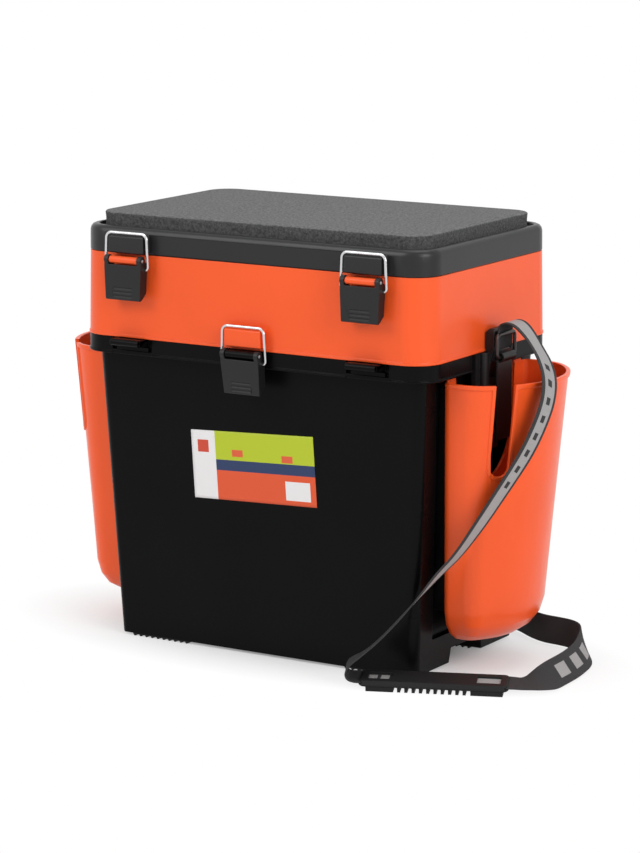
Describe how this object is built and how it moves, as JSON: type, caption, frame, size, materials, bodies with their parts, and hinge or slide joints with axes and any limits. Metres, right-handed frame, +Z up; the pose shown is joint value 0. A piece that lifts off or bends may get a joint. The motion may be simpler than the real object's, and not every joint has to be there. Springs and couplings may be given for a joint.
{
  "type": "fishing seat box",
  "caption": "Fishing seat box: deep lower bin, hinged tray and lid with a foam seat, wire-bail draw latches, hanging end pockets and a shoulder strap.",
  "frame": {"origin": "middle of the box on the ground it stands on (tips of the grip ridges)", "axes": "+X right along the front, +Y to the rear hinges, +Z up; the latches face -Y"},
  "size_m": [0.5534, 0.2906, 0.4172],
  "materials": {
    "black_shell": "moulded, semi-gloss",
    "orange_shell": "moulded, semi-gloss",
    "charcoal_lid": "fine grained",
    "foam": "speckled closed-cell foam",
    "black_trim": "satin",
    "bright_wire": "bright",
    "pin_steel": "plain",
    "dark_steel": "blackened",
    "webbing": "woven",
    "black_rubber": "matt"
  },
  "bodies": {
    "bin": {"lower_bin": "black_shell", "grip_pads": "black_rubber", "pocket_left": "orange_shell", "pocket_right": "orange_shell", "lug_left": "black_trim", "lug_right": "black_trim", "ring_left": "dark_steel", "ring_right": "dark_steel", "lug_screws": "pin_steel", "pocket_screws": "pin_steel", "section_hinge_pins": "pin_steel", "latch_pin_centre": "pin_steel", "strap_front": "webbing", "strap_rear": "webbing", "shoulder_pad": "black_rubber"},
    "section": {"upper_section": "orange_shell", "lid_hinge_pins": "pin_steel", "latch_pin_left": "pin_steel", "latch_pin_right": "pin_steel"},
    "lid": {"lid": "charcoal_lid", "seat_pad": "foam"},
    "lever_left": {"lever_left": "black_trim"},
    "lever_right": {"lever_right": "black_trim"},
    "lever_centre": {"lever_centre": "black_trim"},
    "bail_left": {"bail_left": "bright_wire"},
    "bail_right": {"bail_right": "bright_wire"},
    "bail_centre": {"bail_centre": "bright_wire"}
  },
  "joints": [
    {"name": "section_hinge", "type": "hinge", "parent": "bin", "child": "section", "pos_m": [0, 0.128, 0.2993], "axis": [-1, 0, 0], "range_deg": [0, 80]},
    {"name": "lid_hinge", "type": "hinge", "parent": "section", "child": "lid", "pos_m": [0, 0.128, 0.3795], "axis": [-1, 0, 0], "range_deg": [0, 100]},
    {"name": "lever_left_turn", "type": "hinge", "parent": "section", "child": "lever_left", "pos_m": [-0.1295, -0.1333, 0.375], "axis": [-1, 0, 0], "range_deg": [0, 135]},
    {"name": "bail_left_turn", "type": "hinge", "parent": "lever_left", "child": "bail_left", "pos_m": [-0.1295, -0.1293, 0.3665], "axis": [-1, 0, 0], "range_deg": [-170, 0]},
    {"name": "lever_right_turn", "type": "hinge", "parent": "section", "child": "lever_right", "pos_m": [0.1295, -0.1333, 0.375], "axis": [-1, 0, 0], "range_deg": [0, 135]},
    {"name": "bail_right_turn", "type": "hinge", "parent": "lever_right", "child": "bail_right", "pos_m": [0.1295, -0.1293, 0.3665], "axis": [-1, 0, 0], "range_deg": [-170, 0]},
    {"name": "lever_centre_turn", "type": "hinge", "parent": "bin", "child": "lever_centre", "pos_m": [0, -0.1333, 0.2963], "axis": [-1, 0, 0], "range_deg": [0, 135]},
    {"name": "bail_centre_turn", "type": "hinge", "parent": "lever_centre", "child": "bail_centre", "pos_m": [0, -0.12816, 0.28844], "axis": [-1, 0, 0], "range_deg": [-170, 0]}
  ],
  "couplings": [
    {"joint": "bail_left_turn", "follows": "lever_left_turn", "ratio": -1.25},
    {"joint": "bail_right_turn", "follows": "lever_right_turn", "ratio": -1.25},
    {"joint": "bail_centre_turn", "follows": "lever_centre_turn", "ratio": -1.25}
  ]
}
